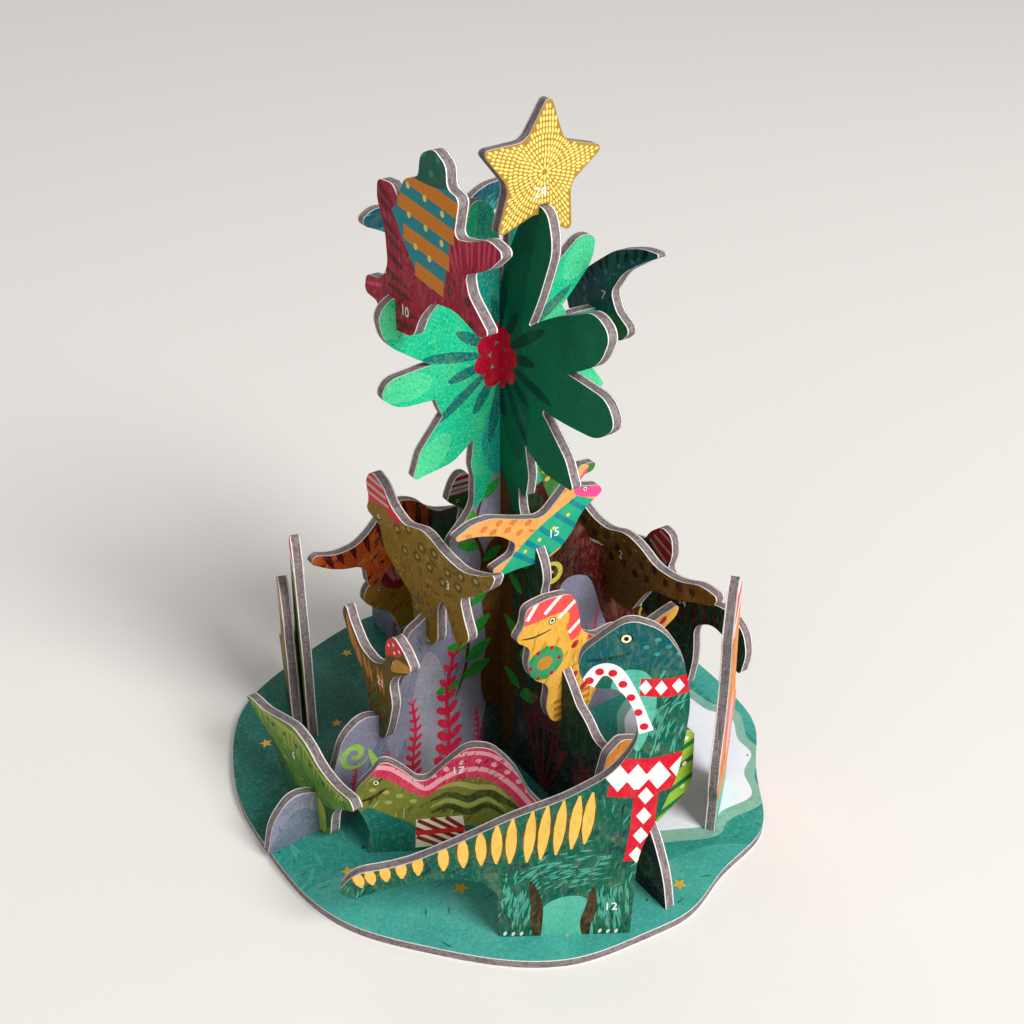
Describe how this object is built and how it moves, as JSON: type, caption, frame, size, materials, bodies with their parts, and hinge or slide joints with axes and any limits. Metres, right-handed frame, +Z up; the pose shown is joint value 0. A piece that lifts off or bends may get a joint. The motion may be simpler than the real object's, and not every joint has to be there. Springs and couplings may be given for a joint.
{
  "type": "pop-up advent calendar",
  "caption": "Palm tree of crossed card uprights on a wavy round base, with small slotted card figures hung on its edges and standing in the base.",
  "frame": {"origin": "on the base's flat underside, under the line where the two uprights cross", "axes": "+Z up along the trunk; the front wings of the two uprights reach to -X and -Y, the back wings to +X and +Y"},
  "size_m": [0.1248, 0.1342, 0.1637],
  "materials": {
    "base_board": "printed greyboard, satin",
    "tree_board": "printed greyboard, satin",
    "star_board": "printed greyboard, satin",
    "dinosaur_board": "printed greyboard, satin"
  },
  "bodies": {
    "root": {"base_plate": "base_board", "crested_dinosaur": "dinosaur_board", "curled_dinosaur": "dinosaur_board", "dinosaur_with_bobble_hat": "dinosaur_board", "duckbill_with_hat": "dinosaur_board", "flyer_with_gift": "dinosaur_board", "frilled_dinosaur": "dinosaur_board", "green_dinosaur_with_hat": "dinosaur_board", "hatching_egg": "dinosaur_board", "horned_dinosaur_with_gift": "dinosaur_board", "humped_dinosaur": "dinosaur_board", "long_lizard": "dinosaur_board", "long_neck_with_scarf": "dinosaur_board", "orange_flyer": "dinosaur_board", "plated_dinosaur": "dinosaur_board", "raptor_with_wreath": "dinosaur_board", "sail_back_with_gift": "dinosaur_board", "small_raptor": "dinosaur_board", "spotted_dinosaur": "dinosaur_board", "star_topper": "star_board", "striding_dinosaur": "dinosaur_board", "tall_green_dinosaur": "dinosaur_board", "tall_orange_dinosaur": "dinosaur_board", "teal_back_flyer": "dinosaur_board", "teal_flyer": "dinosaur_board", "upright_left_front": "tree_board", "upright_right_front": "tree_board"}
  },
  "joints": []
}
